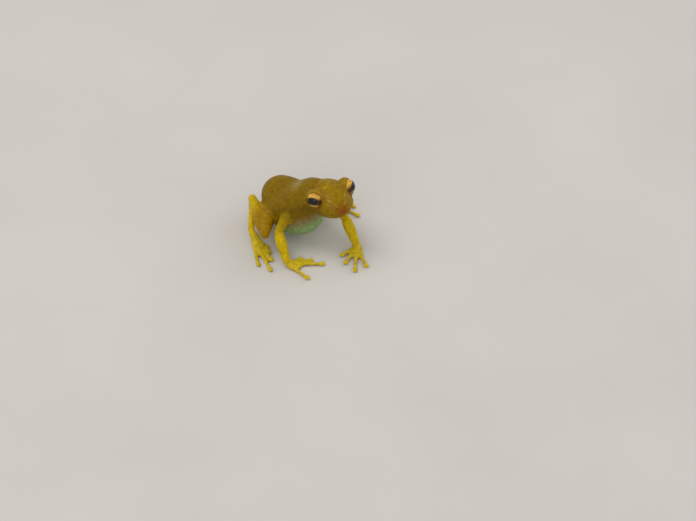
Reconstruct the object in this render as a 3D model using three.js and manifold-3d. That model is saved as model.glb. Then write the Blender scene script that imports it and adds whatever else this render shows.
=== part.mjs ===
// A glass frog just out of the tadpole stage, life size, standing on its four feet with the chest held high.
// Millimetres. +Z is up, the trunk faces -Y and +X is the animal's left. The floor is the plane z = 0.
import * as THREE from "three";
import { mergeVertices } from "three/addons/utils/BufferGeometryUtils.js";
import Module from "manifold-3d";

const wasm = await Module();
wasm.setup();

// Driving dimensions. Lengths below are shares of the snout to vent length.
const SNOUT_VENT = 8.9;
const HEAD_WIDTH = 0.412 * SNOUT_VENT;
const HEAD_LENGTH = 0.37 * SNOUT_VENT;
const EYE_RADIUS = 0.073 * SNOUT_VENT;
const LID = 0.07;
const UPPER_ARM = 0.25 * SNOUT_VENT;
const FOREARM = 0.255 * SNOUT_VENT;
const THIGH = 0.42 * SNOUT_VENT;
const SHANK = 0.45 * SNOUT_VENT;
const TARSUS = 0.285 * SNOUT_VENT;
const CUT = 0.06; // the thin cut between two named parts
const MOUTH_CUT = 0.07;

const SKIN = new THREE.Color(0x8a7d12);
const LIMB = new THREE.Color(0xb29c18);
const IRIS = new THREE.Color(0x2a1c0c);

const rad = THREE.MathUtils.degToRad;
const vec = (x, y, z) => new THREE.Vector3(x, y, z);
const UP = vec(0, 0, 1);

// Turns a closed geometry into a solid.
function solidOf(geometry) {
  const bare = geometry.index ? geometry.toNonIndexed() : geometry.clone();
  bare.deleteAttribute("normal");
  bare.deleteAttribute("uv");
  const merged = mergeVertices(bare, 1e-4);
  return new wasm.Manifold(
    new wasm.Mesh({
      numProp: 3,
      vertProperties: new Float32Array(merged.attributes.position.array),
      triVerts: new Uint32Array(merged.index.array),
    }),
  );
}

// The largest closed surface of a solid, so that a cut leaves no scrap.
function largest(solid) {
  const pieces = solid.decompose().sort((a, b) => b.volume() - a.volume());
  return pieces[0];
}

const join = (solids) => solids.reduce((all, next) => all.add(next));

// A closed skin through rings. Each ring has its centre, two axes and its reach across, above and below.
function loft(rings, sides) {
  const points = [];
  const faces = [];
  const first = rings[0];
  const last = rings[rings.length - 1];
  for (const ring of rings.slice(1, -1)) {
    for (let k = 0; k < sides; k++) {
      const a = (2 * Math.PI * k) / sides;
      const rise = Math.sin(a);
      const p = ring.at
        .clone()
        .addScaledVector(ring.across, Math.cos(a) * ring.half)
        .addScaledVector(ring.up, rise * (rise > 0 ? ring.top : ring.bottom));
      points.push(p.x, p.y, p.z);
    }
  }
  const count = rings.length - 2;
  const start = points.length / 3;
  points.push(...first.at.toArray(), ...last.at.toArray());
  for (let i = 0; i < count - 1; i++) {
    for (let k = 0; k < sides; k++) {
      const n = (k + 1) % sides;
      const a = i * sides + k;
      const b = i * sides + n;
      faces.push(a, a + sides, b + sides, a, b + sides, b);
    }
  }
  for (let k = 0; k < sides; k++) {
    const n = (k + 1) % sides;
    faces.push(start, k, n);
    faces.push(start + 1, (count - 1) * sides + n, (count - 1) * sides + k);
  }
  const geometry = new THREE.BufferGeometry();
  geometry.setAttribute("position", new THREE.Float32BufferAttribute(points, 3));
  geometry.setIndex(faces);
  const solid = solidOf(geometry);
  if (solid.volume() >= 0) return solid;
  geometry.setIndex(faces.reverse());
  return solidOf(geometry);
}

// A rounded form through stations [x, y, z, half width, reach above, reach below], with domed ends.
function limb(stations, { grow = 0, sides = 12, steps = 4, side = vec(1, 0, 0) } = {}) {
  const path = new THREE.CatmullRomCurve3(stations.map((s) => vec(s[0], s[1], s[2])));
  const sizes = new THREE.CatmullRomCurve3(stations.map((s) => vec(s[3], s[4], s[5])));
  const spans = (stations.length - 1) * steps;
  const rings = [];
  const ringAt = (t, shift, share) => {
    const tangent = path.getTangent(t);
    const across = side.clone().addScaledVector(tangent, -side.dot(tangent)).normalize();
    const size = sizes.getPoint(t);
    const least = Math.min(size.x, size.y, size.z) + grow;
    rings.push({
      at: path.getPoint(t).addScaledVector(tangent, shift * least),
      across,
      up: across.clone().cross(tangent),
      half: (size.x + grow) * share,
      top: (size.y + grow) * share,
      bottom: (size.z + grow) * share,
    });
  };
  const dome = [0, 30, 60];
  for (const a of dome) ringAt(0, -Math.cos(rad(a)), Math.sin(rad(a)));
  for (let i = 0; i <= spans; i++) ringAt(i / spans, 0, 1);
  for (const a of dome.reverse()) ringAt(1, Math.cos(rad(a)), Math.sin(rad(a)));
  return loft(rings, sides);
}

// A direction that leans outward from straight ahead, on the limb's own side, and drops below level.
function aim(side, outward, drop) {
  const level = Math.cos(rad(drop));
  return vec(side * Math.sin(rad(outward)) * level, -Math.cos(rad(outward)) * level, -Math.sin(rad(drop)));
}

const reach = (from, side, outward, drop, length) =>
  from.clone().addScaledVector(aim(side, outward, drop), length);
const between = (a, b, t) => a.clone().lerp(b, t);
const station = (p, width, above = width, below = above) => [p.x, p.y, p.z, width, above, below];

// Everything is trimmed flat at the floor.
const FLOOR_BLOCK = 40;
const floorBox = new THREE.BoxGeometry(FLOOR_BLOCK, FLOOR_BLOCK, FLOOR_BLOCK);
floorBox.translate(0, 0, -FLOOR_BLOCK / 2);
const underFloor = solidOf(floorBox);
const stand = (solid) => solid.subtract(underFloor);

// The head's own frame: its centre lies between the eyes, turned a little to the right and leaning.
const HEAD_AT = vec(0.73, -3.43, 5.3);
const head = new THREE.Matrix4().compose(
  HEAD_AT,
  new THREE.Quaternion().setFromEuler(new THREE.Euler(rad(-10), rad(-0.5), rad(-13), "ZXY")),
  vec(1, 1, 1),
);
const inHead = (x, y, z) => vec(x, y, z).applyMatrix4(head);
const headAxis = (x, y, z) => vec(x, y, z).transformDirection(head);

// Half width, top and bottom of the head, from its back to the tip of the snout.
const SNOUT_TIP = 0.58 * HEAD_LENGTH;
const HEAD_BACK = SNOUT_TIP - 1.2 * HEAD_LENGTH;
function headRings(grow) {
  const rings = [];
  const count = 18;
  for (let i = 0; i <= count; i++) {
    const s = 0.5 - 0.5 * Math.cos((Math.PI * i) / count);
    const y = HEAD_BACK + (SNOUT_TIP - HEAD_BACK) * s;
    const blunt = Math.pow(Math.max(0, 1 - Math.pow(s, 3.6)), 0.5);
    const nape = Math.pow(Math.max(0, 1 - Math.pow(1 - s, 3)), 0.5);
    const close = i === 0 || i === count ? 0 : 1;
    rings.push({
      at: inHead(0, -y + grow * (i === 0 ? 1 : i === count ? -1 : 0), -0.36 - 0.22 * s),
      across: headAxis(1, 0, 0),
      up: headAxis(0, 0, 1),
      half: close * ((HEAD_WIDTH / 2) * blunt * nape + grow),
      top: close * (0.36 * HEAD_WIDTH * Math.pow(blunt, 1.1) * nape + grow),
      bottom: close * (0.325 * HEAD_WIDTH * Math.pow(blunt, 0.8) * nape + grow),
    });
  }
  return rings;
}
const headForm = (grow) => loft(headRings(grow), 24);

// Eyes look outward, forward and a little up, each under a ring of lid.
const EYE_OUT = 50;
const EYE_LIFT = 22;
const eyeAt = (side) => inHead(side * 0.147 * SNOUT_VENT, -0.05 * HEAD_LENGTH, 0.035 * HEAD_LENGTH);
const eyeAxis = (side) =>
  headAxis(
    side * Math.sin(rad(EYE_OUT)) * Math.cos(rad(EYE_LIFT)),
    -Math.cos(rad(EYE_OUT)) * Math.cos(rad(EYE_LIFT)),
    Math.sin(rad(EYE_LIFT)),
  );
function ball(at, radius, detail = 20) {
  const sphere = new THREE.SphereGeometry(radius, detail, Math.round(detail * 0.7));
  sphere.translate(at.x, at.y, at.z);
  return solidOf(sphere);
}
// The opening between the lids: a cone frustum along the eye's axis, wider than tall.
function lidOpening(side) {
  const cone = new THREE.CylinderGeometry(1.35 * EYE_RADIUS, 0.86 * EYE_RADIUS, EYE_RADIUS, 28);
  cone.scale(1, 1, 0.9);
  const axis = eyeAxis(side);
  const across = axis.clone().cross(headAxis(0, 0, 1)).normalize();
  const pose = new THREE.Matrix4().makeBasis(across, axis, across.clone().cross(axis));
  pose.setPosition(eyeAt(side).addScaledVector(axis, 0.95 * EYE_RADIUS));
  cone.applyMatrix4(pose);
  return solidOf(cone);
}

// The line of the mouth: a thin sheet that bites a little way into the jaws, all round from corner to corner.
function mouthLine() {
  const sheet = new THREE.BoxGeometry(1.3 * HEAD_WIDTH, 0.74 * HEAD_LENGTH, MOUTH_CUT);
  sheet.translate(0, -SNOUT_TIP + 0.33 * HEAD_LENGTH, -0.285 * HEAD_LENGTH);
  sheet.applyMatrix4(head);
  return solidOf(sheet).subtract(headForm(-0.14));
}

// The rim of the eardrum: a shallow round groove behind and below each eye.
function eardrum(side) {
  const groove = new THREE.TorusGeometry(0.2, 0.045, 5, 16);
  groove.rotateY(rad(90 - side * 18));
  const at = vec(side * 0.385 * HEAD_WIDTH, 0.25 * HEAD_LENGTH, -0.14 * HEAD_LENGTH);
  groove.translate(at.x, at.y, at.z);
  groove.applyMatrix4(head);
  return solidOf(groove);
}

function nostril(side) {
  return ball(inHead(side * 0.1 * HEAD_WIDTH, -SNOUT_TIP + 0.09, -0.06 * HEAD_LENGTH), 0.09, 10);
}

function headSolid() {
  const lids = [1, -1].map((side) => ball(eyeAt(side), EYE_RADIUS + CUT + LID, 20));
  let solid = join([headForm(0), ...lids]);
  for (const side of [1, -1]) {
    solid = solid.subtract(lidOpening(side));
    solid = solid.subtract(ball(eyeAt(side), EYE_RADIUS + CUT, 20));
    solid = solid.subtract(nostril(side));
    solid = solid.subtract(eardrum(side));
  }
  return largest(solid.subtract(mouthLine()));
}

// The trunk: a high chest, a full belly and a back that peaks at the hips, curving a little to the right.
const NECK = vec(0.32, -2.1, 4.3);
const CHEST = vec(0, -1.1, 3.4);
const BELLY = vec(-0.2, -0.15, 2.72);
const RUMP = vec(-0.2, 1.35, 2.35);
const VENT = vec(-0.18, 1.92, 1.96);
const trunkForm = (grow) =>
  limb(
    [
      station(NECK, 0.175 * SNOUT_VENT, 0.165 * SNOUT_VENT, 0.15 * SNOUT_VENT),
      station(CHEST, 0.215 * SNOUT_VENT, 0.165 * SNOUT_VENT, 0.28 * SNOUT_VENT),
      station(BELLY, 0.235 * SNOUT_VENT, 0.155 * SNOUT_VENT, 0.3 * SNOUT_VENT),
      station(RUMP, 0.18 * SNOUT_VENT, 0.17 * SNOUT_VENT, 0.16 * SNOUT_VENT),
      station(VENT, 0.115 * SNOUT_VENT, 0.115 * SNOUT_VENT, 0.105 * SNOUT_VENT),
    ],
    { grow, sides: 24, steps: 4 },
  );

// Joints of the limbs, worked out from the lengths and from angles [outward, drop].
const POSE = {
  left: {
    side: 1,
    shoulder: vec(1.4, -2.0, 3.4),
    hip: vec(0.75, 1.5, 2.1),
    upperArm: [26, 40],
    forearm: [-12, 40],
    thigh: [48, 2],
    shank: [212, 10],
    tarsus: [55, 14],
    foot: 12,
    fingers: [[-98, 1.3], [-70, 1.75], [-45, 2.35], [-21, 2.0]],
  },
  right: {
    side: -1,
    shoulder: vec(-1.1, -1.15, 3.5),
    hip: vec(-0.9, 1.5, 2.1),
    upperArm: [74, 31],
    forearm: [15, 53],
    thigh: [47, -5],
    shank: [206.5, 4],
    tarsus: [44, 29],
    foot: 18.5,
    fingers: [[-76, 1.2], [-62, 1.85], [-49, 2.7], [-6, 2.1]],
  },
};
const TOES = [[-27, 1.55], [-19, 2.05], [-10, 2.8], [0, 3.7], [12.5, 2.9]];
for (const leg of Object.values(POSE)) {
  leg.elbow = reach(leg.shoulder, leg.side, ...leg.upperArm, UPPER_ARM);
  leg.wrist = reach(leg.elbow, leg.side, ...leg.forearm, FOREARM);
  leg.knee = reach(leg.hip, leg.side, ...leg.thigh, THIGH);
  leg.heel = reach(leg.knee, leg.side, ...leg.shank, SHANK);
  leg.ankle = reach(leg.heel, leg.side, ...leg.tarsus, TARSUS);
}

const upperArm = (leg, grow = 0) =>
  limb(
    [
      station(leg.shoulder, 0.46),
      station(between(leg.shoulder, leg.elbow, 0.45), 0.42),
      station(leg.elbow, 0.33),
    ],
    { grow, side: UP },
  );
const forearm = (leg, grow = 0) =>
  limb(
    [
      station(leg.elbow, 0.35),
      station(between(leg.elbow, leg.wrist, 0.35), 0.44),
      station(between(leg.elbow, leg.wrist, 0.8), 0.35),
      station(leg.wrist, 0.31),
    ],
    { grow },
  );
const thigh = (leg, grow = 0) =>
  limb(
    [
      station(leg.hip, 0.7),
      station(between(leg.hip, leg.knee, 0.35), 0.68),
      station(between(leg.hip, leg.knee, 0.75), 0.5),
      station(leg.knee, 0.38),
    ],
    { grow, side: UP, sides: 16 },
  );
const shank = (leg, grow = 0) =>
  limb(
    [
      station(leg.knee.clone().add(vec(0.12 * leg.side, -0.05, -0.2)), 0.36),
      station(between(leg.knee, leg.heel, 0.33).add(vec(0.1 * leg.side, 0, -0.1)), 0.48),
      station(between(leg.knee, leg.heel, 0.75), 0.4),
      station(leg.heel, 0.34),
    ],
    { grow, side: UP, sides: 14 },
  );
const tarsus = (leg, grow = 0) =>
  limb(
    [
      station(leg.heel, 0.32),
      station(between(leg.heel, leg.ankle, 0.5), 0.26),
      station(leg.ankle, 0.27),
    ],
    { grow, side: UP, sides: 10 },
  );

// One finger or toe: slim, arched a little off the floor, with a round pad at its tip.
function digit(from, side, outward, length, root, slim, pad) {
  const tip = reach(vec(from.x, from.y, 0), side, outward, 0, length);
  const at = (t, z) => {
    const p = between(vec(from.x, from.y, 0), tip, t);
    return vec(p.x, p.y, z);
  };
  const across = aim(side, outward + 90, 0);
  const bone = limb(
    [
      station(at(0.08, from.z), root),
      station(at(0.42, slim + 0.09), slim * 1.05),
      station(at(0.72, slim + 0.03), slim),
      station(at(0.97, slim - 0.02), slim),
    ],
    { sides: 7, steps: 2, side: across },
  );
  const disc = new THREE.SphereGeometry(pad, 10, 6);
  disc.scale(1, 1, 0.72);
  disc.translate(tip.x, tip.y, 0.62 * pad);
  return bone.add(solidOf(disc));
}

// Skin between neighbouring digits, up to a share of their length, hollowed between them.
function web(from, side, spread, start, share, thick) {
  const middle = 0.5 * (spread[0][0] + spread[spread.length - 1][0]);
  const root = reach(vec(from.x, from.y, 0), side, middle, 0, start);
  const tips = spread.map(([outward, length]) =>
    reach(vec(from.x, from.y, 0), side, outward, 0, length * share),
  );
  const shape = new THREE.Shape();
  shape.moveTo(root.x, root.y);
  shape.lineTo(tips[0].x, tips[0].y);
  for (let i = 1; i < tips.length; i++) {
    const dip = between(between(tips[i - 1], tips[i], 0.5), root, 0.25);
    shape.quadraticCurveTo(dip.x, dip.y, tips[i].x, tips[i].y);
  }
  shape.closePath();
  const sheet = new THREE.ExtrudeGeometry(shape, { depth: thick, bevelEnabled: false, curveSegments: 3 });
  return solidOf(sheet);
}

const HAND_WEB = 0.55;
const HAND_WEB_START = 0.4;
const FOOT_WEB = 0.6;
const FOOT_WEB_START = 0.85;
const WEB_THICK = 0.16;
function handSolid(leg) {
  const from = vec(leg.wrist.x, leg.wrist.y, 0.27);
  const heading = 0.5 * (leg.fingers[2][0] + leg.fingers[3][0]);
  const palm = limb(
    [
      station(leg.wrist, 0.32, 0.3),
      station(reach(from, leg.side, heading, 8, 0.45), 0.42, 0.25),
      station(reach(from, leg.side, heading, 8, 0.9), 0.42, 0.2),
    ],
    { side: aim(leg.side, heading + 90, 0), sides: 12 },
  );
  const fingers = leg.fingers.map(([outward, length]) =>
    digit(from, leg.side, outward, length, 0.2, 0.15, 0.24),
  );
  const skin = web(from, leg.side, leg.fingers.slice(2), HAND_WEB_START, HAND_WEB, WEB_THICK);
  return stand(join([palm, skin, ...fingers]));
}
function footSolid(leg) {
  const toes = TOES.map(([turn, length]) => [leg.foot + turn, length]);
  const sole = limb(
    [
      station(leg.ankle, 0.27),
      station(reach(leg.ankle, leg.side, leg.foot - 6, 24, 0.7), 0.36, 0.24),
      station(reach(leg.ankle, leg.side, leg.foot - 6, 22, 1.35), 0.46, 0.18),
    ],
    { side: aim(leg.side, leg.foot + 84, 0), sides: 12 },
  );
  const from = vec(leg.ankle.x, leg.ankle.y, leg.ankle.z - 0.12);
  const rays = toes.map(([outward, length]) =>
    digit(from, leg.side, outward, length, 0.2, 0.15, 0.23),
  );
  const skin = web(from, leg.side, toes, FOOT_WEB_START, FOOT_WEB, WEB_THICK);
  return stand(join([sole, skin, ...rays]));
}

// Each part is cut clear of the part that it grows from.
const clear = (solid, ...others) => others.reduce((left, other) => left.subtract(other), solid);

const solids = {};
solids.head = headSolid();
solids.torso = largest(clear(trunkForm(0), headForm(CUT)));
for (const [name, side] of [["left", 1], ["right", -1]]) {
  solids["eye_" + name] = ball(eyeAt(side), EYE_RADIUS, 18);
}
for (const [name, leg] of Object.entries(POSE)) {
  const body = [trunkForm(CUT), headForm(CUT)];
  solids["upper_arm_" + name] = largest(clear(upperArm(leg), ...body));
  solids["forearm_" + name] = largest(clear(forearm(leg), ...body, upperArm(leg, CUT)));
  solids["hand_" + name] = largest(clear(handSolid(leg), forearm(leg, CUT)));
  solids["thigh_" + name] = largest(clear(thigh(leg), ...body));
  solids["shank_" + name] = largest(clear(shank(leg), ...body, thigh(leg, CUT)));
  solids["tarsus_" + name] = largest(
    clear(tarsus(leg), ...body, shank(leg, CUT), thigh(leg, CUT)),
  );
  solids["foot_" + name] = largest(
    clear(footSolid(leg), tarsus(leg, CUT), shank(leg, CUT), thigh(leg, CUT)),
  );
}

function geometryOf(solid) {
  const made = solid.getMesh();
  const geometry = new THREE.BufferGeometry();
  geometry.setAttribute("position", new THREE.BufferAttribute(made.vertProperties, 3));
  geometry.setIndex(new THREE.BufferAttribute(made.triVerts, 1));
  return geometry;
}

function meshOf(name, solid, centre) {
  const geometry = geometryOf(solid);
  geometry.translate(-centre.x, -centre.y, 0);
  geometry.computeVertexNormals();
  const isEye = name.startsWith("eye");
  const isTrunk = name === "head" || name === "torso";
  const material = new THREE.MeshStandardMaterial({
    color: isEye ? IRIS : isTrunk ? SKIN : LIMB,
    roughness: isEye ? 0.1 : 0.4,
    metalness: 0,
  });
  const mesh = new THREE.Mesh(geometry, material);
  mesh.name = name;
  return mesh;
}

// The origin sits on the floor under the middle of the whole animal.
const extent = new THREE.Box3();
for (const solid of Object.values(solids)) {
  const geometry = geometryOf(solid);
  geometry.computeBoundingBox();
  extent.union(geometry.boundingBox);
}
const centre = extent.getCenter(new THREE.Vector3());

const frog = new THREE.Group();
for (const [name, solid] of Object.entries(solids)) frog.add(meshOf(name, solid, centre));
export default frog;
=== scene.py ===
"""A young glass frog, life size, sitting with its chest held high."""

import math
from contextlib import contextmanager

import bpy
import numpy as np
from bpy.props import FloatProperty, FloatVectorProperty, PointerProperty
from mathutils import Euler, Matrix, Vector
from mathutils.kdtree import KDTree


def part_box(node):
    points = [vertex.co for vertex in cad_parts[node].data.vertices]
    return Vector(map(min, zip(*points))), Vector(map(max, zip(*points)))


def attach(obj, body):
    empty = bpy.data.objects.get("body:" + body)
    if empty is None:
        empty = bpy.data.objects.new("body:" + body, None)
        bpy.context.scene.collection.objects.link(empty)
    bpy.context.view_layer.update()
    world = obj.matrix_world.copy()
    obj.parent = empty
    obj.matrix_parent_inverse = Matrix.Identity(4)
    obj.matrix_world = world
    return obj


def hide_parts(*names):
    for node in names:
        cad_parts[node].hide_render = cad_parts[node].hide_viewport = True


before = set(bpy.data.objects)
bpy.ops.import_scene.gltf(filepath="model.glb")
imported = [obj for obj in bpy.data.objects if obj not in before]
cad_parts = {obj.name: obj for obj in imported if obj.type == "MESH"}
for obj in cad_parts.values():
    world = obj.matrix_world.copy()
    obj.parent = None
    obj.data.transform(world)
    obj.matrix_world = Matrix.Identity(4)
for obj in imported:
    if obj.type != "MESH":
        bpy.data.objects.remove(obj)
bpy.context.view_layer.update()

bl_info = {
    "name": "Glass frog",
    "version": (1, 0, 0),
    "blender": (4, 5, 0),
    "location": "View3D > Sidebar > Frog",
    "description": "Skin, eyes and studio for a life-size young glass frog",
    "category": "Add Mesh",
}

MM = 0.001
EYES = ("eye_left", "eye_right")

# How the solids turn the head, how the eyes look out and up from it, and the middle between
# the eyes in the head's own frame, in millimetres.
HEAD_TURN = Euler((math.radians(-10), math.radians(-0.5), math.radians(-13)), "YXZ")
EYE_OUT = math.radians(50)
EYE_LIFT = math.radians(22)
EYE_IN_HEAD = Vector((0.0, -0.165, 0.115))

# The camera and the point it looks at, from the centre of the right eye, in millimetres.
CAMERA_FROM_EYE = Vector((-119.85, -135.77, 177.46))
AIM_FROM_EYE = Vector((1.05, -2.45, -5.38))
LENS = 175.8
CLIP_START = 0.01

# The studio, in metres. Each light has its place, size, power and tone.
LIGHTS = {
    "key": ((-0.1, 0.12, 0.36), 0.26, 0.55, (1.0, 0.985, 0.96)),
    "fill": ((-0.28, -0.2, 0.26), 0.34, 0.3, (1.0, 0.99, 0.97)),
    "side": ((0.32, -0.1, 0.16), 0.26, 0.26, (1.0, 0.99, 0.98)),
}
SKY = (1.0, 0.985, 0.96, 1)
SKY_STRENGTH = 0.6
FLOOR_SIZE = 1.2
FLOOR_DARK = (0.56, 0.535, 0.505)
FLOOR_LIGHT = (0.60, 0.575, 0.545)

# How far from the head's origin its mesh is made finer, in millimetres.
HEAD_REACH = 2.05

# Places and distances on the head, in its own frame, in millimetres.
NOSTRIL = (0.42, -1.78, -0.2)
NOSTRIL_STRETCH = (0.6, 1, 1.3)
SNOUT_TIP = (0, -1.95, -0.5)
CROWN = (-0.3, 0.05, 0.73)
MOUTH_LEVEL = -0.94
MOUTH_RISE = 0.05
UPPER_LIP = 0.1
LOWER_LIP = 0.09
DRUM_BACK = 0.82
DRUM_DOWN = 0.46
DRUM_RADIUS = 0.2
DRUM_RIM = 0.27

# Lines on either side of the head, in its own frame, in millimetres.
CANTHUS = ((0.3, -1.72, -0.13), (0.66, -1.18, 0.27), (1.1, -0.84, 0.44))
EAR_FOLD = ((1.15, 0.72, 0.5), (1.45, 0.95, 0.1), (1.68, 1.1, -0.5))
JAW_CREASE = ((2.07, 0.63, -1.25), (2.24, 0.82, -0.82))

# Angles off the line of sight: the lids' edge, the crease inside it, how far the lid blends
# into the head, and the middle and half width of the ring that needs a finer mesh.
LID_EDGE = math.radians(66)
LID_SEAM = math.radians(63.5)
LID_BLEND = math.radians(30)
FINE_RING = math.radians(64)
FINE_RING_HALF = math.radians(22)

# The painted widths of that edge and crease, as angles too.
LID_EDGE_WIDE = math.radians(6)
LID_SEAM_WIDE = math.radians(2.5)

# The lids' opening is narrower above and below by this share. The skin inside it sinks under the
# eyeball's surface, and only skin this far over or under that surface is lid, in millimetres.
LID_OVAL = 0.1
LID_SUNK = 0.1
LID_OVER = 0.45
LID_UNDER = 0.4

# Voxels of the first remesh as a share of the second's, and rounds of smoothing before and
# after the head's mesh is made finer.
FIRST_VOXEL_SHARE = 0.8
EVEN_ROUNDS = 6
EVEN_ROUNDS_FINE = 3

# Where the skin runs smooth from one muscle to the next, the rump and then the nape: place and
# width in millimetres, and rounds of smoothing.
SOFT_PLACES = (((-0.1, 4.75, 2.65), 0.9, 90), ((0.4, 0.4, 5.6), 0.8, 30))

# The line between the back's colours and the belly's: its height, where along the body it has
# that height, in millimetres, and its fall for each millimetre towards the rump.
WAIST_HIGH = 3.3
WAIST_AT = -0.4
WAIST_FALL = 0.62

# The middle of the painted highlight between the shoulders, in millimetres.
WITHERS = (-0.2, 1.35, 5.1)

# Rounds of blending between the colours of neighbouring nodes, at the borders of the head, the
# trunk and the shanks, and at the shoulders.
TINT_ROUNDS = 60
BORDER_ROUNDS = 12
SHOULDER_ROUNDS = 30

# The eyeball, and how far the clear front of the eye stands out of it, as a share.
EYE_SEGMENTS = 64
EYE_RINGS = 40
CORNEA = 0.08

# Colours of single marks, painted shade and painted highlights among them. The larger areas have
# theirs in FrogColours.
WHITE = (1.0, 1.0, 1.0)
BLACK = (0.0, 0.0, 0.0)
PLUM_SHADE = (0.23, 0.17, 0.07)
CANTHUS_HIGHLIGHT = (0.55, 0.44, 0.12)
FOLD_HIGHLIGHT = (0.45, 0.34, 0.03)
NOSTRIL_SHADE = (0.035, 0.015, 0.002)
CREASE_RED = (0.13, 0.02, 0.003)
CROWN_ORANGE = (0.62, 0.34, 0.0)
WITHERS_HIGHLIGHT = (0.34, 0.29, 0.07)
SEAM_RED = (0.12, 0.025, 0.003)
PUPIL = (0.004, 0.003, 0.003, 1)
IRIS_DARK = (0.055, 0.018, 0.004)
IRIS_BROWN = (0.11, 0.032, 0.006)


# Selection, meshes and numbers


def pick(*objects):
    """Selects these objects and nothing else, and makes the first one active."""
    if bpy.context.mode != "OBJECT":
        bpy.ops.object.mode_set(mode="OBJECT")
    bpy.ops.object.select_all(action="DESELECT")
    for item in objects:
        item.select_set(True)
    bpy.context.view_layer.objects.active = objects[0]


def finish_modifier(piece, kind, **values):
    """Adds one modifier, sets it up and applies it."""
    pick(piece)
    modifier = piece.modifiers.new(kind.lower(), kind)
    for key, value in values.items():
        setattr(modifier, key, value)
    bpy.ops.object.modifier_apply(modifier=modifier.name)


@contextmanager
def editing(piece):
    """Edit mode with the whole mesh selected."""
    pick(piece)
    bpy.ops.object.mode_set(mode="EDIT")
    bpy.ops.mesh.select_all(action="SELECT")
    yield
    bpy.ops.object.mode_set(mode="OBJECT")


def points_of(piece):
    co = np.empty(len(piece.data.vertices) * 3)
    piece.data.vertices.foreach_get("co", co)
    return co.reshape(-1, 3)


def normals_of(piece):
    return np.array([v.normal[:] for v in piece.data.vertices])


def set_points(piece, points):
    piece.data.vertices.foreach_set("co", points.ravel())
    piece.data.update()


def smoothstep(low, high, x):
    """Rises smoothly from 0 at low to 1 at high, or falls where low is the larger."""
    t = np.clip((x - low) / (high - low), 0, 1)
    return t * t * (3 - 2 * t)


def bump_of(distance, width):
    """1 at no distance, fading to nothing over about two widths."""
    return np.exp(-((distance / width) ** 2))


def centre_of(node):
    """Middle of a solid's box, in millimetres."""
    low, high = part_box(node)
    return (low + high) / 2 / MM


def blur(piece, values, rounds):
    """Evens out values over neighbouring vertices."""
    edges = np.empty(len(piece.data.edges) * 2, int)
    piece.data.edges.foreach_get("vertices", edges)
    a, b = edges.reshape(-1, 2).T
    count = np.bincount(np.concatenate([a, b]), minlength=len(values))[:, None]
    for _ in range(rounds):
        total = np.zeros_like(values)
        np.add.at(total, a, values[b])
        np.add.at(total, b, values[a])
        values = 0.5 * values + 0.5 * total / np.maximum(count, 1)
    return values


# The head's own frame, in millimetres: +X to its left, -Y ahead, +Z up.

HEAD_AXES = np.array(HEAD_TURN.to_matrix())
EYE_RADIUS = (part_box("eye_left")[1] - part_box("eye_left")[0]).x / 2 / MM
EYE_AT = {name: np.array(centre_of(name)) for name in EYES}
HEAD_AT = (EYE_AT["eye_left"] + EYE_AT["eye_right"]) / 2 - HEAD_AXES @ np.array(EYE_IN_HEAD)


def eye_axes(name):
    """Columns: across the eye, along its line of sight, up."""
    side = 1 if name == "eye_left" else -1
    sight = HEAD_AXES @ np.array(
        (
            side * math.sin(EYE_OUT) * math.cos(EYE_LIFT),
            -math.cos(EYE_OUT) * math.cos(EYE_LIFT),
            math.sin(EYE_LIFT),
        )
    )
    across = np.cross(sight, HEAD_AXES[:, 2])
    across /= np.linalg.norm(across)
    return np.column_stack([across, sight, np.cross(across, sight)])


def length(name, description, value):
    return FloatProperty(name=name, description=description + ", in mm", default=value)


def angle(name, description, value):
    return FloatProperty(name=name, description=description, default=value, unit="ROTATION")


def colour(name, description, value):
    return FloatVectorProperty(
        name=name, description=description, subtype="COLOR", size=3, min=0, max=1, default=value
    )


class FrogSizes(bpy.types.PropertyGroup):
    """Sizes of the skin, the lids and the pupils"""

    voxel: length("Skin grain", "Smallest form of the skin", 0.073)
    web: length("Fold fill", "How far skin bridges a crease", 0.06)
    lid_open: angle("Lid opening", "Half angle of the eye's opening", LID_EDGE)
    lid_thick: length("Lid thickness", "Thickness of the lids", 0.05)
    pupil_wide: angle("Pupil width", "Half angle of the pupil's width", math.radians(39))
    pupil_high: angle("Pupil height", "Half angle of the pupil's height", math.radians(24))


class FrogColours(bpy.types.PropertyGroup):
    """Colours of the skin's areas and of the iris"""

    back: colour("Back", "Olive yellow of head and back", (0.262, 0.155, 0.0))
    limb: colour("Limbs", "Brighter yellow of arms and legs", (0.570, 0.400, 0.002))
    thigh: colour("Thighs", "Warm brown yellow of thighs and shanks", (0.300, 0.168, 0.0))
    digit: colour("Digits", "Pale yellow of fingers and toes", (0.540, 0.400, 0.014))
    belly: colour("Belly", "Clear green of belly and throat", (0.240, 0.380, 0.140))
    snout: colour("Snout", "Red brown of the snout's tip", (0.240, 0.035, 0.003))
    lid: colour("Lid", "Golden rim of the lids", (0.420, 0.260, 0.010))
    iris: colour("Iris", "Gold of the iris", (0.620, 0.440, 0.055))


# Materials


def shader_material(name):
    material = bpy.data.materials.new(name)
    material.use_nodes = True
    nodes = material.node_tree.nodes
    return material, nodes, material.node_tree.links, nodes["Principled BSDF"]


def add(nodes, kind, **values):
    """Adds a shader node, setting its inputs and its other values by name."""
    node = nodes.new(kind)
    for key, value in values.items():
        if key in node.inputs:
            node.inputs[key].default_value = value
        else:
            setattr(node, key, value)
    return node


def set_inputs(shader, values):
    for key, value in values.items():
        shader.inputs[key].default_value = value


def scaled(tone, share):
    """A lighter or darker tone, held to what a colour can be."""
    return tuple(min(1, c * share) for c in tone)


def ramp(nodes, stops):
    """A colour ramp with the given places and colours."""
    node = nodes.new("ShaderNodeValToRGB")
    elements = node.color_ramp.elements
    while len(elements) < len(stops):
        elements.new(0.5)
    for element, (place, value) in zip(elements, stops):
        element.position = place
        element.color = (*value, 1)
    return node


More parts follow.
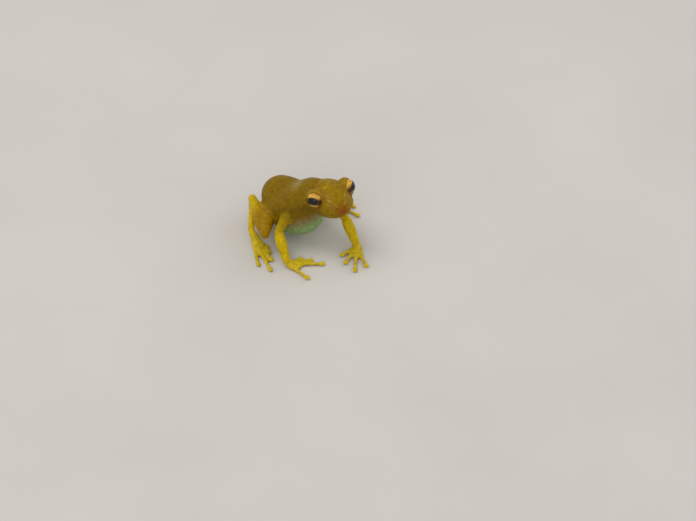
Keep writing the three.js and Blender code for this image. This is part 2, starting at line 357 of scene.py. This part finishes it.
def multiplied(nodes, links, a, b):
    """The product of two colours."""
    node = add(nodes, "ShaderNodeMix", data_type="RGBA", blend_type="MULTIPLY")
    node.inputs["Factor"].default_value = 1
    links.new(a, node.inputs["A"])
    links.new(b, node.inputs["B"])
    return node


def wet_skin():
    """Clear, wet skin: painted tint, fine mottling, scattered dark dots and a grained surface."""
    material, nodes, links, shader = shader_material("wet_skin")
    place = nodes.new("ShaderNodeTexCoord")
    tint = add(nodes, "ShaderNodeAttribute", attribute_name="tint")
    mottle = add(nodes, "ShaderNodeTexNoise", Scale=3400, Detail=6, Roughness=0.65)
    shade = ramp(nodes, [(0.28, (0.66, 0.63, 0.55)), (0.5, WHITE), (0.74, (1.26, 1.24, 1.3))])
    dots = add(nodes, "ShaderNodeTexVoronoi", Scale=4200)
    dot_shade = ramp(nodes, [(0.0, (0.3, 0.07, 0.03)), (0.13, (0.42, 0.16, 0.06)), (0.2, WHITE)])
    dot_where = add(nodes, "ShaderNodeTexNoise", Scale=700, Detail=2)
    dot_mask = ramp(nodes, [(0.5, BLACK), (0.62, WHITE)])
    grain = add(nodes, "ShaderNodeTexVoronoi", Scale=8000)
    bump = add(nodes, "ShaderNodeBump", Strength=0.7, Distance=0.00003)
    for node in (mottle, dots, dot_where, grain):
        links.new(place.outputs["Object"], node.inputs["Vector"])
    links.new(mottle.outputs["Fac"], shade.inputs["Fac"])
    links.new(dots.outputs["Distance"], dot_shade.inputs["Fac"])
    links.new(dot_where.outputs["Fac"], dot_mask.inputs["Fac"])
    mottled = multiplied(nodes, links, tint.outputs["Color"], shade.outputs["Color"])
    dotted = multiplied(nodes, links, mottled.outputs["Result"], dot_shade.outputs["Color"])
    links.new(dot_mask.outputs["Color"], dotted.inputs["Factor"])
    links.new(dotted.outputs["Result"], shader.inputs["Base Color"])
    links.new(grain.outputs["Distance"], bump.inputs["Height"])
    links.new(bump.outputs["Normal"], shader.inputs["Normal"])
    set_inputs(
        shader,
        {
            "Roughness": 0.45,
            "Specular IOR Level": 0.05,
            "Subsurface Weight": 0.35,
            "Subsurface Radius": (1.0, 0.75, 0.12),
            "Subsurface Scale": 0.0005,
            "Coat Weight": 0.12,
            "Coat Roughness": 0.1,
        },
    )
    return material


def glossy_eye(name, colours, sizes):
    """An iris of golden flecks round a wide black pupil, under a clear wet surface."""
    material, nodes, links, shader = shader_material("iris_" + name)
    place = nodes.new("ShaderNodeTexCoord")
    radius = EYE_RADIUS * MM
    turn = Matrix(eye_axes(name).tolist()).transposed().to_4x4()
    move = add(nodes, "ShaderNodeMapping", vector_type="POINT")
    move.inputs["Location"].default_value = -(turn.to_3x3() @ Vector(EYE_AT[name] * MM)) / radius
    move.inputs["Rotation"].default_value = turn.to_euler()
    move.inputs["Scale"].default_value = (1 / radius,) * 3
    links.new(place.outputs["Object"], move.inputs["Vector"])
    split = nodes.new("ShaderNodeSeparateXYZ")
    links.new(move.outputs["Vector"], split.inputs["Vector"])

    def maths(operation, a, b=None):
        node = add(nodes, "ShaderNodeMath", operation=operation)
        for slot, value in enumerate((a, b)):
            if isinstance(value, (int, float)):
                node.inputs[slot].default_value = value
            elif value is not None:
                links.new(value, node.inputs[slot])
        return node.outputs[0]

    wide = maths("DIVIDE", split.outputs["X"], math.sin(sizes.pupil_wide))
    high = maths("DIVIDE", split.outputs["Z"], math.sin(sizes.pupil_high))
    reach = maths("SQRT", maths("ADD", maths("POWER", wide, 2), maths("POWER", high, 2)))
    wobble = add(nodes, "ShaderNodeTexNoise", Scale=5, Detail=2)
    links.new(move.outputs["Vector"], wobble.inputs["Vector"])
    uneven = maths("MULTIPLY", maths("SUBTRACT", wobble.outputs["Fac"], 0.5), 0.12)
    edge = maths("ADD", reach, uneven)
    gold = tuple(colours.iris)
    # The level is 0 at the bottom of the eye and 1 at its top.
    level = maths("MULTIPLY", maths("ADD", split.outputs["Z"], 1), 0.5)
    bands = ramp(
        nodes,
        [
            (0.10, scaled(gold, 0.3)),
            (0.17, scaled(gold, 1.1)),
            (0.23, scaled(gold, 0.9)),
            (0.27, scaled(gold, 0.16)),
            (0.42, IRIS_DARK),
            (0.55, IRIS_BROWN),
            (0.66, scaled(gold, 0.8)),
            (0.78, scaled(gold, 1.35)),
            (0.92, scaled(gold, 0.7)),
        ],
    )
    links.new(level, bands.inputs["Fac"])
    flecks = add(nodes, "ShaderNodeTexVoronoi", Scale=11)
    links.new(move.outputs["Vector"], flecks.inputs["Vector"])
    veins = ramp(
        nodes, [(0.05, (1.3, 1.3, 1.1)), (0.38, (1.0, 0.95, 0.8)), (0.68, (0.6, 0.22, 0.16))]
    )
    links.new(flecks.outputs["Distance"], veins.inputs["Fac"])
    iris = multiplied(nodes, links, bands.outputs["Color"], veins.outputs["Color"])
    outside = ramp(nodes, [(0.485, BLACK), (0.505, WHITE)])
    links.new(maths("MULTIPLY", edge, 0.5), outside.inputs["Fac"])
    whole = add(nodes, "ShaderNodeMix", data_type="RGBA")
    links.new(outside.outputs["Color"], whole.inputs["Factor"])
    whole.inputs["A"].default_value = PUPIL
    links.new(iris.outputs["Result"], whole.inputs["B"])
    links.new(whole.outputs["Result"], shader.inputs["Base Color"])
    set_inputs(
        shader,
        {
            "Roughness": 0.4,
            "Specular IOR Level": 0.1,
            "Coat Weight": 0.8,
            "Coat IOR": 1.38,
            "Coat Roughness": 0.02,
        },
    )
    return material


def floor_material():
    """Plain pale floor with a faint unevenness."""
    material, nodes, links, shader = shader_material("pale_floor")
    place = nodes.new("ShaderNodeTexCoord")
    noise = add(nodes, "ShaderNodeTexNoise", Scale=60, Detail=3)
    shade = ramp(nodes, [(0.3, FLOOR_DARK), (0.7, FLOOR_LIGHT)])
    links.new(place.outputs["Object"], noise.inputs["Vector"])
    links.new(noise.outputs["Fac"], shade.inputs["Fac"])
    links.new(shade.outputs["Color"], shader.inputs["Base Color"])
    shader.inputs["Roughness"].default_value = 0.6
    return material


# The skin


def joined_flesh(nodes):
    """The given nodes as one object, a thousand times life size, since voxels have a least size."""
    parts = []
    for name in nodes:
        part = bpy.data.objects.new("skin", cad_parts[name].data.copy())
        bpy.context.scene.collection.objects.link(part)
        parts.append(part)
    pick(*parts)
    bpy.ops.object.join()
    skin = parts[0]
    skin.data.materials.clear()
    with editing(skin):
        bpy.ops.mesh.remove_doubles(threshold=1e-7)
        bpy.ops.transform.resize(value=(1 / MM,) * 3, center_override=(0, 0, 0))
    return skin


def soften(piece, centre, width, rounds):
    """Smooths the skin round one place, fading out with the distance from it."""
    group = piece.vertex_groups.new(name="soft")
    share = bump_of(np.linalg.norm(points_of(piece) - centre, axis=1), width)
    for index in np.flatnonzero(share > 0.01):
        group.add([int(index)], float(share[index]), "REPLACE")
    finish_modifier(piece, "SMOOTH", factor=0.5, iterations=rounds, vertex_group=group.name)
    piece.vertex_groups.clear()


def refine(piece, chosen):
    """Subdivides the faces whose centres are chosen."""
    pick(piece)
    bpy.ops.object.mode_set(mode="EDIT")
    bpy.ops.mesh.select_mode(type="FACE")
    bpy.ops.mesh.select_all(action="DESELECT")
    bpy.ops.object.mode_set(mode="OBJECT")
    centres = np.empty(len(piece.data.polygons) * 3)
    piece.data.polygons.foreach_get("center", centres)
    piece.data.polygons.foreach_set("select", chosen(centres.reshape(-1, 3)))
    bpy.ops.object.mode_set(mode="EDIT")
    bpy.ops.mesh.subdivide(number_cuts=1)
    bpy.ops.object.mode_set(mode="OBJECT")


def in_head(points):
    return (points - HEAD_AT) @ HEAD_AXES


def mirrored(local):
    """Points of the head with its right side folded on its left."""
    return np.column_stack([np.abs(local[:, 0]), local[:, 1], local[:, 2]])


def from_eye(points, name):
    """Points in the eye's own axes, their distance from its centre and angle off its sight."""
    local = (points - EYE_AT[name]) @ eye_axes(name)
    reach = np.maximum(np.linalg.norm(local, axis=1), 1e-6)
    return local, reach, np.arccos(np.clip(local[:, 1] / reach, -1, 1))


def near_lids(points):
    """The lids, whose forms are the finest of the head."""
    near = np.zeros(len(points), bool)
    for name in EYES:
        _, reach, off = from_eye(points, name)
        near |= (np.abs(reach - EYE_RADIUS) < 0.3) & (np.abs(off - FINE_RING) < FINE_RING_HALF)
    return near


def shape_lids(points, sizes):
    """Opens the lids over each eye as a wide oval and gives them a rounded rim."""
    rim = EYE_RADIUS + sizes.lid_thick
    sunk = EYE_RADIUS - LID_SUNK
    for name in EYES:
        local, reach, off = from_eye(points, name)
        around = np.arctan2(local[:, 2], local[:, 0])
        gap = off - sizes.lid_open * (1 - LID_OVAL * np.abs(np.sin(around)) ** 2)
        here = (reach < EYE_RADIUS + LID_OVER) & (reach > EYE_RADIUS - LID_UNDER)
        inside = here & (gap < 0)
        outside = here & (gap >= 0) & (gap < LID_BLEND)
        wanted = reach.copy()
        wanted[inside] = sunk + (rim - sunk) * smoothstep(-0.07, 0.0, gap[inside])
        share = smoothstep(0, LID_BLEND, gap[outside])
        wanted[outside] = np.maximum(rim, rim + (reach[outside] - rim) * share)
        points += ((wanted - reach) / reach)[:, None] * (local @ eye_axes(name).T)
    return points


def from_line(points, line):
    """Distance of each point from a chain of straight pieces."""
    least = np.full(len(points), 1e9)
    for a, b in zip(np.array(line)[:-1], np.array(line)[1:]):
        t = np.clip((points - a) @ (b - a) / ((b - a) @ (b - a)), 0, 1)
        least = np.minimum(least, np.linalg.norm(points - a - t[:, None] * (b - a), axis=1))
    return least


def nostril_reach(folded):
    """Distance from the nostril, which opens sideways through the skin."""
    return np.linalg.norm((folded - NOSTRIL) * NOSTRIL_STRETCH, axis=1)


def carve_head(points, normals):
    """Mouth line, lips, nostrils, eardrums, ridges to the eyes, ear folds and jaw creases."""
    local = in_head(points)
    folded = mirrored(local)
    side, y, z = folded.T
    head = smoothstep(2.2, 1.6, np.linalg.norm(local / (1.1, 1.25, 1.0), axis=1))
    # Each form is a height or depth times a bump of some width, in millimetres.
    depth = np.zeros(len(points))
    mouth = MOUTH_LEVEL + MOUTH_RISE * smoothstep(-1.2, 0.3, y)
    front = smoothstep(0.62, 0.4, y) * head
    depth -= 0.055 * bump_of(z - mouth, 0.035) * front
    depth += 0.02 * bump_of(z - mouth - UPPER_LIP, 0.06) * front
    depth += 0.012 * bump_of(z - mouth + LOWER_LIP, 0.06) * front
    nostril = nostril_reach(folded)
    depth += 0.03 * bump_of(nostril - 0.09, 0.06) - 0.07 * bump_of(nostril, 0.055)
    drum = np.sqrt((y - DRUM_BACK) ** 2 + (z + DRUM_DOWN) ** 2)
    groove = 0.03 * bump_of(drum - DRUM_RADIUS, 0.04)
    depth += smoothstep(1.0, 1.3, side) * (-groove + 0.015 * bump_of(drum - DRUM_RIM, 0.05))
    depth += 0.04 * bump_of(from_line(folded, CANTHUS), 0.1)
    depth += 0.035 * bump_of(from_line(folded, EAR_FOLD), 0.1)
    depth -= 0.03 * bump_of(from_line(folded, JAW_CREASE), 0.06)
    return points + normals * depth[:, None]


def nearest_node(points):
    """Which flesh node lies nearest to each vertex."""
    names = [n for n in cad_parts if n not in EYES]
    tree = KDTree(sum(len(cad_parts[n].data.vertices) for n in names))
    owner = []
    for index, name in enumerate(names):
        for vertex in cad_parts[name].data.vertices:
            tree.insert(vertex.co / MM, len(owner))
            owner.append(index)
    tree.balance()
    return names, np.array([owner[tree.find(p)[1]] for p in points])


def ground_tone(node, colours):
    """The colour a flesh node starts from."""
    kinds = {
        "head": colours.back,
        "torso": colours.back,
        "thigh": colours.thigh,
        "shank": colours.thigh,
        "hand": colours.digit,
        "foot": colours.digit,
        "upper_arm": (Vector(colours.back) + Vector(colours.limb)) / 2,
    }
    tones = (tone for kind, tone in kinds.items() if node.startswith(kind))
    return tuple(next(tones, colours.limb))


def paint(skin, colours):
    """Writes every vertex's tint: olive back, yellow limbs, green belly, red snout, gold lids, with
    painted shade on the chest, cheeks, flanks, nostrils and lower lids, and painted highlights
    along the canthus, the ear folds and between the shoulders.
    """
    points = points_of(skin)
    names, owner = nearest_node(points)
    tint = blur(skin, np.array([ground_tone(name, colours) for name in names])[owner], TINT_ROUNDS)

    def spread(tone, share):
        nonlocal tint
        tint = tint + (np.array(tone) - tint) * np.clip(share, 0, 1)[:, None]

    def owned_by(kind, rounds):
        """How far each vertex belongs to the nodes of one kind, with soft borders."""
        mask = np.array([name.startswith(kind) for name in names], float)[owner][:, None]
        return blur(skin, mask, rounds)[:, 0]

    local = in_head(points)
    folded = mirrored(local)
    trunk = owned_by("torso", BORDER_ROUNDS)
    skull = owned_by("head", BORDER_ROUNDS)
    above = points[:, 2] - (WAIST_HIGH - WAIST_FALL * (points[:, 1] - WAIST_AT))
    throat = skull * smoothstep(-1.15, -1.45, local[:, 2])
    cheek = skull * smoothstep(0.1, -0.5, local[:, 2]) * smoothstep(-1.6, -0.9, local[:, 1])
    flank = trunk * smoothstep(1.2, 0.2, np.abs(above - 0.8))
    # A darker olive: partly the skin's own browner tone, partly painted shade on the cheeks, the
    # flanks and the lower lid rims.
    dark_olive_and_shade = tuple(np.array(colours.back) * (0.6, 0.58, 0.6))
    spread(scaled(colours.back, 0.72), 0.8 * trunk)
    spread(dark_olive_and_shade, 0.75 * np.maximum(cheek, flank))
    # Painted shade: plum brown on the band between the back's colours and the belly's, and on the
    # throat under the jaw.
    spread(PLUM_SHADE, 0.92 * np.maximum(trunk * smoothstep(0.35, -0.35, above), throat))
    spread(colours.belly, 0.92 * np.maximum(throat, trunk * smoothstep(-0.1, -1.3, above)))
    shoulder = owned_by("upper_arm", SHOULDER_ROUNDS) * smoothstep(2.5, 3.5, points[:, 2])
    spread(scaled(colours.back, 0.8), 0.9 * shoulder)
    heel = owned_by("shank", BORDER_ROUNDS) * smoothstep(2.6, 4.2, points[:, 1])
    spread(colours.limb, 0.8 * heel)

    spread(colours.snout, 0.75 * bump_of(np.linalg.norm(local - SNOUT_TIP, axis=1), 0.5))
    # Painted highlight: a pale line along the ridge from each eye to the nostril.
    spread(CANTHUS_HIGHLIGHT, 0.6 * bump_of(from_line(folded, CANTHUS), 0.045))
    # Painted highlight: a pale line along each ear fold.
    fold = bump_of(from_line(folded, EAR_FOLD), 0.07) * smoothstep(1.6, 1.1, folded[:, 0])
    spread(FOLD_HIGHLIGHT, 0.5 * fold)
    # Painted shade: dark inside each nostril's opening.
    spread(NOSTRIL_SHADE, 0.9 * bump_of(nostril_reach(folded), 0.05))
    spread(CREASE_RED, 0.65 * bump_of(from_line(folded, JAW_CREASE), 0.05))
    spread(CROWN_ORANGE, 0.6 * bump_of(np.linalg.norm(local - CROWN, axis=1), 0.16))
    # Painted highlight: a pale patch between the shoulders.
    withers_highlight = bump_of(np.linalg.norm(points - WITHERS, axis=1), 0.5)
    spread(WITHERS_HIGHLIGHT, 0.5 * trunk * withers_highlight)
    for name in EYES:
        seen, reach, off = from_eye(points, name)
        height = seen[:, 2] / EYE_RADIUS
        ring = bump_of(off - LID_EDGE, LID_EDGE_WIDE) * (reach < EYE_RADIUS + 0.3)
        spread(colours.lid, 0.7 * ring * smoothstep(-0.1, 0.5, height))
        # Painted shade: the lower half of each lid rim is darker.
        spread(dark_olive_and_shade, 0.7 * ring * smoothstep(0.2, -0.3, height))
        seam = bump_of(off - LID_SEAM, LID_SEAM_WIDE) * (reach < EYE_RADIUS + 0.2)
        spread(SEAM_RED, 0.7 * seam)
    layer = skin.data.color_attributes.new("tint", "FLOAT_COLOR", "POINT")
    rgba = np.column_stack([np.clip(tint, 0, 1), np.ones(len(tint))])
    layer.data.foreach_set("color", rgba.ravel())


class FROG_OT_skin(bpy.types.Operator):
    """One skin over the head, trunk and limbs, with lids, mouth, nostrils and eardrums"""

    bl_idname = "frog.skin"
    bl_label = "Skin"

    def execute(self, context):
        sizes = context.scene.frog_sizes
        flesh = sorted(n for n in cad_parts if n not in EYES)
        skin = joined_flesh(flesh + list(EYES))
        finish_modifier(skin, "DISPLACE", strength=sizes.web, mid_level=0)
        finish_modifier(skin, "REMESH", mode="VOXEL", voxel_size=FIRST_VOXEL_SHARE * sizes.voxel)
        finish_modifier(skin, "DISPLACE", strength=-sizes.web, mid_level=0)
        finish_modifier(skin, "REMESH", mode="VOXEL", voxel_size=sizes.voxel)
        finish_modifier(skin, "SMOOTH", factor=0.5, iterations=EVEN_ROUNDS)
        for place, width, rounds in SOFT_PLACES:
            soften(skin, place, width, rounds)
        refine(skin, lambda centres: np.linalg.norm(in_head(centres), axis=1) < HEAD_REACH)
        refine(skin, near_lids)
        finish_modifier(skin, "SMOOTH", factor=0.5, iterations=EVEN_ROUNDS_FINE)
        points = shape_lids(points_of(skin), sizes)
        set_points(skin, points)
        points = carve_head(points, normals_of(skin))
        points[:, 2] = np.maximum(points[:, 2], 0)
        set_points(skin, points)
        paint(skin, context.scene.frog_colours)
        skin.name = skin.data.name = "skin"
        with editing(skin):
            bpy.ops.transform.resize(value=(MM,) * 3, center_override=(0, 0, 0))
            bpy.ops.mesh.normals_make_consistent(inside=False)
        bpy.ops.object.shade_smooth()
        skin.data.materials.append(wet_skin())
        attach(skin, "root")
        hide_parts(*flesh)
        return {"FINISHED"}


class FROG_OT_eyes(bpy.types.Operator):
    """Two glossy eyes with golden irises and wide black pupils"""

    bl_idname = "frog.eyes"
    bl_label = "Eyes"

    def execute(self, context):
        scene = context.scene
        for name in EYES:
            bpy.ops.object.select_all(action="DESELECT")
            bpy.ops.mesh.primitive_uv_sphere_add(
                segments=EYE_SEGMENTS,
                ring_count=EYE_RINGS,
                radius=EYE_RADIUS * MM,
                location=(0, 0, 0),
            )
            eye = context.object
            eye.name = eye.data.name = name + "_ball"
            points = points_of(eye)[:, [0, 2, 1]] * (1, 1, -1)
            local = points / (EYE_RADIUS * MM)
            bulge = 1 + CORNEA * smoothstep(0.45, 1.0, local[:, 1])
            points = points * bulge[:, None]
            set_points(eye, points @ eye_axes(name).T + EYE_AT[name] * MM)
            with editing(eye):
                bpy.ops.mesh.normals_make_consistent(inside=False)
            bpy.ops.object.shade_smooth()
            eye.data.materials.append(glossy_eye(name, scene.frog_colours, scene.frog_sizes))
            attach(eye, "root")
            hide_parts(name)
        return {"FINISHED"}


class FROG_OT_stage(bpy.types.Operator):
    """Pale floor, soft lights and the camera"""

    bl_idname = "frog.stage"
    bl_label = "Studio"

    def execute(self, context):
        scene = context.scene
        bpy.ops.object.select_all(action="DESELECT")
        bpy.ops.mesh.primitive_plane_add(size=FLOOR_SIZE, location=(0, 0, 0))
        floor = context.object
        floor.name = floor.data.name = "floor"
        floor.data.materials.append(floor_material())

        for name, (place, size, power, tone) in LIGHTS.items():
            light = bpy.data.lights.new(name, "AREA")
            light.shape = "DISK"
            light.size = size
            light.energy = power
            light.color = tone
            lamp = bpy.data.objects.new(name, light)
            lamp.location = place
            lamp.rotation_euler = (-Vector(place)).to_track_quat("-Z", "Y").to_euler()
            scene.collection.objects.link(lamp)

        world = bpy.data.worlds.new("studio")
        world.use_nodes = True
        background = world.node_tree.nodes["Background"]
        background.inputs["Color"].default_value = SKY
        background.inputs["Strength"].default_value = SKY_STRENGTH
        scene.world = world
        scene.view_settings.view_transform = "Standard"

        camera = bpy.data.objects.new("camera", bpy.data.cameras.new("camera"))
        scene.collection.objects.link(camera)
        eye = Vector(EYE_AT["eye_right"])
        camera.location = (eye + CAMERA_FROM_EYE) * MM
        aim = (eye + AIM_FROM_EYE) * MM
        camera.rotation_euler = (aim - camera.location).to_track_quat("-Z", "Y").to_euler()
        camera.data.lens = LENS
        camera.data.clip_start = CLIP_START
        scene.camera = camera
        return {"FINISHED"}


class FROG_PT_panel(bpy.types.Panel):
    """Buttons that make the studio, skin and eyes, and the values they use"""

    bl_label = "Glass frog"
    bl_space_type = "VIEW_3D"
    bl_region_type = "UI"
    bl_category = "Frog"

    def draw(self, context):
        for operator in OPERATORS:
            self.layout.operator(operator.bl_idname)
        for group in (context.scene.frog_sizes, context.scene.frog_colours):
            for key in group.__annotations__:
                self.layout.prop(group, key)


OPERATORS = (FROG_OT_stage, FROG_OT_skin, FROG_OT_eyes)
CLASSES = (FrogSizes, FrogColours, *OPERATORS, FROG_PT_panel)


def register():
    for item in CLASSES:
        bpy.utils.register_class(item)
    bpy.types.Scene.frog_sizes = PointerProperty(type=FrogSizes)
    bpy.types.Scene.frog_colours = PointerProperty(type=FrogColours)


def unregister():
    del bpy.types.Scene.frog_colours
    del bpy.types.Scene.frog_sizes
    for item in reversed(CLASSES):
        bpy.utils.unregister_class(item)


def main():
    register()
    bpy.ops.frog.stage()
    bpy.ops.frog.skin()
    bpy.ops.frog.eyes()


if __name__ == "__main__":
    main()
